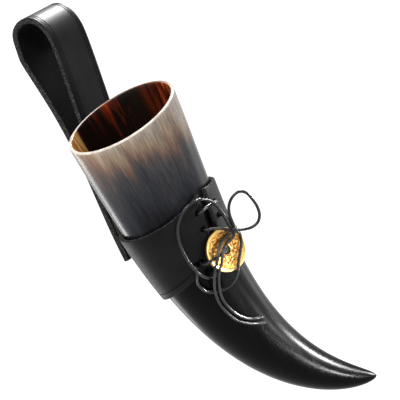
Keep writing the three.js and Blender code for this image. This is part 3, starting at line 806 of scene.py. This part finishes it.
class StrapFold:
    """The belt strap folded over a belt, seen edge-on as reach out of the cuff against height, and its rivets"""
    BEARING, LEAN = math.radians(133), math.radians(16)
    CLEARANCE, SEAT = 1 * MM, 90 * MM
    TAIL, TAIL_STEP, LOOP_TOP = 6 * MM, 2 * MM, 158.3 * MM
    LOOP_FRONT, LOOP_GAP, FRONT_BEND, BACK_BEND, BEND_STEPS = 1.2 * MM, 26.6 * MM, 22 * MM, 12 * MM, 8
    MOUTH_GAP, MIDDLE_SHARE, MEET_STAND, MEET_SHARE = 14.3 * MM, 0.3, 1.2 * MM, 0.16
    FLAT_HEIGHT, FLAT_MARGIN, STANDOFF, FLAT_FROM = 9 * MM, 1.5 * MM, 1.2 * MM, 46 * MM
    RIVET_MARGINS = 6.2 * MM, 7 * MM
    RIVET_GAP, HEAD_THICK = 0.35 * MM, 0.8 * MM
    SHANK_BORE, HEAD_BORE, CURL_FROM = 2.35 * MM, 4.35 * MM, 2 * MM

    def __init__(self, line, holder):
        self.line, self.thick, self.width = line, holder.strap_thickness, holder.strap_width
        self.axis = line.centre(self.SEAT)
        self.out = Vector((math.cos(self.BEARING), math.sin(self.BEARING), 0))
        self.belt = Vector((math.sin(self.BEARING), -math.cos(self.BEARING), 0))
        self.layer = self.thick + self.CLEARANCE
        self.top = (self.SEAT - CuffBand.TOP) / math.cos(self.LEAN)
        below_top, above_tail = self.RIVET_MARGINS
        self.rivets = {"rivet_upper": self.top - below_top, "rivet_lower": above_tail - self.TAIL}

    def point(self, reach, height, across, curl):
        """The place at a reach and a height, across the strap from its middle, curled round the cuff or not"""
        side = across * math.cos(self.LEAN) + height * math.sin(self.LEAN)
        rise = height * math.cos(self.LEAN) - across * math.sin(self.LEAN)
        sag = curl * (reach - math.sqrt(max(0, reach ** 2 - side ** 2)))
        return self.axis + self.out * (reach - sag) + self.belt * side + Vector((0, 0, rise))

    def on_cuff(self, height):
        return self.line.cuff_face(self.SEAT - height * math.cos(self.LEAN)) + self.CLEARANCE

    def curl(self, height):
        """How far the strap follows the cuff's round, from 1 behind the cuff to 0 where it lies flat"""
        start = self.top + self.CURL_FROM
        share = min(max((height - start) / (self.FLAT_FROM - start), 0), 1)
        return 1 - share * share * (3 - 2 * share)

    def edge_line(self, spacing):
        """The strap's middle line from the end of its front leg, over the loop, to the end of its back leg"""
        half, mouth_height = self.thick / 2, self.SEAT / math.cos(self.LEAN)
        top_reach = self.on_cuff(self.top) + half
        mouth = self.line.mouth - self.out.dot(self.axis) + self.STANDOFF + half
        bend = (self.LOOP_GAP + self.thick) / 2
        front, crown = mouth + self.LOOP_FRONT, self.LOOP_TOP - half
        start = self.TAIL_STEP - self.TAIL
        points = [(self.on_cuff(h) + half, h) for h in (start, (start + self.top) / 2)]
        points += [(top_reach, self.top), ((top_reach + mouth) / 2, (self.top + mouth_height) / 2),
                   (mouth, mouth_height)]
        for i in range(self.BEND_STEPS + 1):
            angle = math.pi * (1 - i / self.BEND_STEPS)
            rise = self.FRONT_BEND if 2 * i < self.BEND_STEPS else self.BACK_BEND
            points.append((front + bend * (1 + math.cos(angle)), crown - rise * (1 - math.sin(angle))))
        flat_to = self.FLAT_MARGIN + self.FLAT_HEIGHT
        for drop in (self.FLAT_MARGIN, flat_to, flat_to + self.FLAT_MARGIN):
            points.append((front + 2 * bend, crown - self.BACK_BEND - drop))
        back = top_reach + self.layer
        points += [(mouth + self.MOUTH_GAP + self.thick, mouth_height),
                   (back + self.MOUTH_GAP * self.MIDDLE_SHARE, (self.top + mouth_height) / 2),
                   (back + self.MEET_STAND, self.top + self.MEET_SHARE * mouth_height)]
        for share in (0, 0.5, 1):
            height = self.top + (-self.TAIL - self.top) * share
            points.append((self.on_cuff(height) + half + self.layer, height))
        return smooth_line([Vector((x, y, 0)) for x, y in points], spacing)

    def rivet_matrix(self, height, reach):
        """Places a rivet's own +Y square out of the strap, from a reach at a height on the strap's middle"""
        base = self.on_cuff(height)
        slope = (self.on_cuff(height + MM) - self.on_cuff(height - MM)) / (2 * MM)
        seat = self.point(0, height, 0, 0) + self.out * base
        return (Matrix.Translation(seat) @ Matrix.Rotation(self.BEARING - math.pi / 2, 4, "Z")
                @ Matrix.Rotation(-math.atan(slope), 4, "X") @ Matrix.Translation((0, reach - base, 0)))

    def cuff_inside(self, height):
        return self.on_cuff(height) - self.CLEARANCE - self.line.thick

    def rivet_cutters(self, counterbored):
        """Cutters of the rivets' bores, and of the room for their heads inside the cuff"""
        cutters, along = [], Matrix.Rotation(math.pi / 2, 4, "X")
        for height in self.rivets.values():
            shank = self.rivet_matrix(height, self.on_cuff(height)) @ along
            cutters.append(round_cutter(self.SHANK_BORE, 8 * self.thick, shank))
            if counterbored:
                head = self.rivet_matrix(height, self.cuff_inside(height)) @ along
                cutters.append(round_cutter(self.HEAD_BORE, 2 * (self.HEAD_THICK + 2 * self.RIVET_GAP), head))
        return cutters


class HORN_OT_strap(bpy.types.Operator):
    """Model the belt strap: one length of creased leather folded over into a loop"""
    bl_idname = "drinking_horn.strap"
    bl_label = "Belt strap"
    SPACING, CREASES = 2.4 * MM, [2.2 * MM, 4 * MM]

    def execute(self, context):
        holder, line = context.scene.holder_sizes, horn_line()
        fold = StrapFold(line, holder)
        outline = BandOutline(fold.thick, self.CREASES, self.CREASES, holder.crease)
        middle = fold.edge_line(self.SPACING)
        last = len(middle) - 1
        steps = outline.steps(outline.ROUNDING / self.SPACING, last, range(1, last))

        def place(point, at, inset):
            i = min(int(at), last - 1)
            spot = middle[i].lerp(middle[i + 1], at - i)
            before, after = middle[max(i - 1, 0)], middle[min(i + 2, last)]
            way = (after - before).normalized()
            across, offset = outline.across(point, fold.width)
            side = squeezed(offset, inset, fold.thick) - fold.thick / 2
            height = spot.y + way.x * side
            return fold.point(spot.x - way.y * side, height, across - fold.width / 2, fold.curl(height))

        obj = band("strap_leather", outline, steps, place)
        punch(obj, fold.rivet_cutters(False))
        skin = leather("leather_smooth_black", holder.leather, 1500.0, (0.36, 0.5), (0.12, 0.0002))
        finish_piece(obj, "holder", "strap_leather", hide(skin, holder), "belt_strap")
        return {"FINISHED"}


class HORN_OT_rivets(bpy.types.Operator):
    """Turn the two rivets that hold the strap's legs to the cuff"""
    bl_idname = "drinking_horn.rivets"
    bl_label = "Rivets"
    SIDES = 40
    # Outlines in millimetres: distance from the axis, height above the head's foot or the cap's
    SHANK, HEAD = 2, [(0, 0), (3.7, 0), (4, 0.25), (4, 0.6), (3.8, 0.8)]
    CAP = [(4.3, 0), (4.5, 0.15), (4.5, 0.4), (4.32, 0.68), (3.9, 1.05), (3.2, 1.45), (2.3, 1.75), (1.2, 1.94),
           (0, 2)]

    def execute(self, context):
        holder, line = context.scene.holder_sizes, horn_line()
        fold = StrapFold(line, holder)
        metal = rivet_steel(context.scene.trim_sizes)
        for name, height in fold.rivets.items():
            head = fold.cuff_inside(height) + fold.RIVET_GAP
            cap = fold.on_cuff(height) + fold.layer + fold.thick + fold.RIVET_GAP - head
            profile = self.HEAD + [(self.SHANK, fold.HEAD_THICK / MM), (self.SHANK, cap / MM)]
            profile += [(out, cap / MM + up) for out, up in self.CAP]
            matrix = fold.rivet_matrix(height, head)

            def place(point, step):
                angle = point / self.SIDES * 2 * math.pi
                radius, up = profile[step]
                return matrix @ (Vector((radius * math.sin(angle), up, radius * math.cos(angle))) * MM)

            obj = swept(name + "_turned", self.SIDES, len(profile), place)
            close_piece(obj)
            finish_piece(obj, "holder", "rivet_steel", [metal], name)
        return {"FINISHED"}


class HORN_OT_medallion(bpy.types.Operator):
    """Turn the medallion and hammer its face"""
    bl_idname = "drinking_horn.medallion"
    bl_label = "Medallion"
    SIDES, FACE_STEPS = 160, 30
    PLACE, TURN, TILT = (18.2, 100, 5.1), math.radians(-8.5), math.radians(7)
    HOLE, RIM_WIDTH, RIM_HEIGHT, THICK, ROUNDING = 3 * MM, 1.6 * MM, 0.4 * MM, 2 * MM, 0.25 * MM
    # Marks per millimetre, and the steps of the face over which the hammering fades out at its rim and at its hole
    DENTS, ROUGHNESS, RIM_FADE, HOLE_FADE = 0.42, 0.9, 3, 2

    def execute(self, context):
        trim, line = context.scene.trim_sizes, horn_line()
        radius, face = trim.medallion / 2, self.THICK / 2
        inner, r = radius - self.RIM_WIDTH, self.ROUNDING
        profile = [(self.HOLE + r, -face), (radius - r, -face), (radius, -face + r),
                   (radius, face + 0.3 * self.RIM_HEIGHT), (radius - r, face + 0.85 * self.RIM_HEIGHT),
                   (radius - 0.5 * self.RIM_WIDTH, face + self.RIM_HEIGHT),
                   (inner + r, face + 0.7 * self.RIM_HEIGHT), (inner, face)]
        self.face_from = len(profile)
        profile += [(inner - (inner - self.HOLE - r) * i / self.FACE_STEPS, face)
                    for i in range(1, self.FACE_STEPS + 1)]
        self.face_to = len(profile)
        profile += [(self.HOLE, face - r), (self.HOLE, r - face), (self.HOLE + r, -face)]
        side, depth, stand = (x * MM for x in self.PLACE)
        matrix = (Matrix.Translation(line.off_cuff(side, depth, stand))
                  @ Matrix.Rotation(line.bearing(side, depth) + self.TURN, 4, "Z")
                  @ Matrix.Rotation(math.pi - self.TILT, 4, "X"))

        def place(point, step):
            angle = point / self.SIDES * 2 * math.pi
            out, up = profile[step]
            up -= trim.hammering * self.recess(point, step, profile)
            return matrix @ Vector((out * math.sin(angle), up, out * math.cos(angle)))

        obj = swept("medallion_hammered", self.SIDES, len(profile), place)
        recess = bmesh.from_edit_mesh(obj.data).verts.layers.float.new("recess")
        mesh, point_layer, step_layer = edited(obj)
        for vert in mesh.verts:
            vert[recess] = self.recess(vert[point_layer], vert[step_layer], profile)
        bmesh.update_edit_mesh(obj.data)
        close_piece(obj)
        finish_piece(obj, "medallion", "medallion_brass", [medallion_brass(trim)], "medallion")
        return {"FINISHED"}

    def recess(self, point, step, profile):
        """How deep the face is hammered at a place, from 0 to 1"""
        if not self.face_from <= step < self.face_to - 1:
            return 0.0
        angle, out = point / self.SIDES * 2 * math.pi, profile[step][0] / MM
        spot = Vector((out * math.sin(angle), out * math.cos(angle), 0))
        dents = noise.voronoi(spot * self.DENTS)[0]
        rough = noise.fractal(spot * self.ROUGHNESS, 0.8, 2.0, 4)
        deep = 0.55 + 0.5 * rough - 0.55 * (dents[1] - dents[0])
        fade = min(1, (step - self.face_from + 1) / self.RIM_FADE, (self.face_to - 1 - step) / self.HOLE_FADE)
        return min(max(deep, 0), 1) * fade


class HORN_OT_lace(bpy.types.Operator):
    """Lay the round leather lace: its crossings, the bow, the tails and the knot"""
    bl_idname = "drinking_horn.lace"
    bl_label = "Lace"
    SPACING, ROUNDNESS = 0.8 * MM, 3
    KNOT, KNOT_TURNS, KNOT_RADIUS, KNOT_RISE, KNOT_STEPS = (26.1, 91.5, 10.4), 2.4, 1.55 * MM, 1.75 * MM, 60
    # Ends nearer the knot than this, in millimetres, are led into it, up to this share of their distance from it
    KNOT_REACH, KNOT_SHARE = 9, 0.2

    def execute(self, context):
        holder, line = context.scene.holder_sizes, horn_line()
        skin = leather("leather_lace", holder.leather, 2200.0, (0.2, 0.36), (0.1, 0.0001), shine=0.4)
        for name, route in LACE_ROUTES.items():
            points = [line.off_cuff(*(point * MM)) for point in self.to_knot(route)]
            path = smooth_line(points, self.SPACING)
            obj = self.tube(name + "_cord", path, holder.lace)
            finish_piece(obj, "holder", "lace_leather", [skin], name)
            if name in FREE_LACES:
                points = [obj.matrix_world @ point.co.xyz for point in obj.data.splines[0].points]
                length = sum((b - a).length for a, b in zip(points, points[1:]))
                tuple(points[0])
        obj = self.tube("lace_knot_turns", self.knot(line), holder.lace)
        finish_piece(obj, "holder", "lace_leather", [skin], "lace_knot")
        return {"FINISHED"}

    def to_knot(self, route):
        """The route with each end that is near the knot led into it"""
        knot, led = Vector(self.KNOT), [Vector(point) for point in route]
        for at, end in ((0, led[0]), (len(led) + 1, led[-1])):
            if (end - knot).length < self.KNOT_REACH:
                led.insert(at, knot.lerp(end, self.KNOT_SHARE))
        return led

    def tube(self, name, path, diameter):
        """A round lace along a path"""
        curve = bpy.data.curves.new(name, "CURVE")
        curve.dimensions, curve.bevel_depth, curve.bevel_resolution = "3D", diameter / 2, self.ROUNDNESS
        curve.use_fill_caps = True
        spline = curve.splines.new("POLY")
        spline.points.add(len(path) - 1)
        for point, spot in zip(spline.points, path):
            point.co = (*spot, 1)
        obj = bpy.data.objects.new(name, curve)
        bpy.context.scene.collection.objects.link(obj)
        return obj

    def knot(self, line):
        """Turns of the lace drawn tight round the strands, leaning over each other"""
        centre, path = line.off_cuff(*(x * MM for x in self.KNOT)), []
        for i in range(self.KNOT_STEPS + 1):
            turn = (i / self.KNOT_STEPS - 0.5) * self.KNOT_TURNS
            angle = turn * 2 * math.pi
            path.append(centre + Vector((self.KNOT_RADIUS * math.cos(angle), self.KNOT_RADIUS * math.sin(angle),
                                         turn * self.KNOT_RISE)))
        return path


class HORN_OT_stage(bpy.types.Operator):
    """Set the floor, the soft light and the camera"""
    bl_idname = "drinking_horn.stage"
    bl_label = "Stage"
    FLOOR_DROP, FLOOR_SIZE, FLOOR_GLOW = 0.9, 12, 0.8
    RAISED, ROLL, DISTANCE, SENSOR, VIEW_WIDTH = math.radians(21), math.radians(30), 12.0, 36, 249.2 * MM
    TARGET_RIGHT, TARGET_DROP = 16.76 * MM, 69.4 * MM
    OPEN, GRID = math.pi, math.radians(30)
    # Each light as the camera sees it: place in the picture that it is aimed at in millimetres, distance from
    # there, way it comes from, way of its long side, size, spread. A light with a grid makes gloss only.
    LAMPS = {
        "key": ((0, 0), 1.25, (-0.5, 0.6, 0.65), (1, 0, 0), (0.45, 0.45), OPEN),
        "top": ((0, 0), 1.25, (-0.15, 0.95, -0.1), (1, 0, 0), (1.0, 0.4), OPEN),
        "side": ((62, -84), 0.4, (0.97, 0.14, 0.16), (0, 0, 1), (0.44, 0.12), GRID / 2),
        "edge": ((83, -97), 0.4, (0.778, 0.604, -0.137), (-0.39, 0.65, 0.65), (0.24, 0.08), GRID),
        "streak": ((75, -97), 0.4, (0.792, 0, 0.618), (0, 1, 0.2), (0.1, 0.16), GRID / 3),
        "crown": ((-90, 112), 0.4, (0.15, 0.87, -0.45), (0.45, 0.14, 0.38), (0.34, 0.2), GRID),
        "sheen": ((-6, 31), 0.4, (0.785, 0.26, -0.56), (0, 1, 0), (0.25, 0.15), GRID),
        "back": ((-56, -5), 0.5, (-0.48, -0.37, -0.8), (0.47, -0.81, -0.36), (0.35, 0.12), GRID),
    }

    def execute(self, context):
        scene = context.scene
        light = scene.stage_light
        self.camera(scene)
        self.floor()
        self.surround(scene, light.surround)
        for name, lamp in self.LAMPS.items():
            self.lamp(scene, name + "_light", getattr(light, name), *lamp)
        scene.view_settings.view_transform = "Standard"
        return {"FINISHED"}

    def level_axes(self):
        """The camera's right, up and backward directions before it is rolled"""
        turned = Matrix.Rotation(HORN_FACING, 3, "Z")
        rise, run = math.sin(self.RAISED), math.cos(self.RAISED)
        return [turned @ Vector(way) for way in ((1, 0, 0), (0, rise, run), (0, -run, rise))]

    def axes(self):
        """The camera's right, up and backward directions"""
        right, up, back = self.level_axes()
        sine, cosine = math.sin(self.ROLL), math.cos(self.ROLL)
        return cosine * right - sine * up, sine * right + cosine * up, back

    def target(self):
        right, up, _ = self.level_axes()
        return HORN_PLACE + self.TARGET_RIGHT * right - self.TARGET_DROP * up

    def place(self, scene, name, data, at, axes):
        """Add a lamp or a camera at a place, turned to its own three axes"""
        obj = bpy.data.objects.new(name, data)
        scene.collection.objects.link(obj)
        obj.matrix_world = Matrix.Translation(at) @ Matrix(axes).transposed().to_4x4()
        return obj

    def camera(self, scene):
        data = bpy.data.cameras.new("camera")
        data.sensor_width = self.SENSOR
        data.lens = self.SENSOR * self.DISTANCE / self.VIEW_WIDTH
        axes = self.axes()
        scene.camera = self.place(scene, "camera", data, self.target() + axes[2] * self.DISTANCE, axes)

    def lamp(self, scene, name, power, aim, distance, way, along, size, spread):
        """A rectangle of light; what it is given is as in LAMPS"""
        data = bpy.data.lights.new(name, "AREA")
        data.shape, data.size, data.size_y, data.energy, data.spread = "RECTANGLE", *size, power, spread
        seen = Matrix(self.axes()).transposed()
        way = (seen @ Vector(way)).normalized()
        side = way.cross(seen @ Vector(along)).normalized()
        at = self.target() + seen @ (Vector((*aim, 0)) * MM) + way * distance
        lamp = self.place(scene, name, data, at, (side.cross(way), side, way))
        lamp.visible_diffuse = spread == self.OPEN

    def floor(self):
        bpy.ops.object.select_all(action="DESELECT")
        bpy.ops.mesh.primitive_plane_add(size=self.FLOOR_SIZE, location=(0, 0, CAD_BOX[0].z - self.FLOOR_DROP))
        plane = bpy.context.object
        plane.name = plane.data.name = "floor"
        material = bpy.data.materials.new("floor_pale")
        n = nodes_of(material)
        paint = n.add("ShaderNodeBsdfDiffuse", {"Color": (0.85, 0.85, 0.85, 1)})
        glow = n.add("ShaderNodeEmission", {"Color": (1, 1, 1, 1),
                                            "Strength": n.times(seen_outright(n), self.FLOOR_GLOW)})
        both = n.add("ShaderNodeAddShader", {0: paint.outputs[0], 1: glow.outputs[0]})
        n.add("ShaderNodeOutputMaterial", {"Surface": both.outputs[0]})
        plane.data.materials.append(material)

    def surround(self, scene, strength):
        scene.world = bpy.data.worlds.new("studio")
        n = nodes_of(scene.world)
        white = n.add("ShaderNodeBackground", {"Color": (1, 1, 1, 1),
                                               "Strength": n.math("MAXIMUM", seen_outright(n), strength)})
        n.add("ShaderNodeOutputWorld", {"Surface": white.outputs[0]})


class HORN_PT_panel(bpy.types.Panel):
    """Builds the horn, its holder and the stage"""
    bl_idname = "HORN_PT_panel"
    bl_label = "Drinking horn"
    bl_space_type = "VIEW_3D"
    bl_region_type = "UI"
    bl_category = "Horn"

    def draw(self, context):
        for group in GROUPS:
            for name in GROUPS[group].__annotations__:
                self.layout.prop(getattr(context.scene, group), name)
        for operator in OPERATORS:
            self.layout.operator(operator.bl_idname)


GROUPS = {"horn_sizes": HornSizes, "holder_sizes": HolderSizes, "trim_sizes": TrimSizes, "stage_light": StageLight}
OPERATORS = (HORN_OT_stage, HORN_OT_horn, HORN_OT_cuff, HORN_OT_strap, HORN_OT_rivets, HORN_OT_medallion,
             HORN_OT_lace)


def register():
    for cls in (*GROUPS.values(), *OPERATORS, HORN_PT_panel):
        bpy.utils.register_class(cls)
    for name, group in GROUPS.items():
        setattr(bpy.types.Scene, name, PointerProperty(type=group))


def unregister():
    for name in GROUPS:
        delattr(bpy.types.Scene, name)
    for cls in reversed((*GROUPS.values(), *OPERATORS, HORN_PT_panel)):
        bpy.utils.unregister_class(cls)


def main():
    register()
    for operator in OPERATORS:
        group, name = operator.bl_idname.split(".")
        getattr(getattr(bpy.ops, group), name)()


if __name__ == "__main__":
    main()
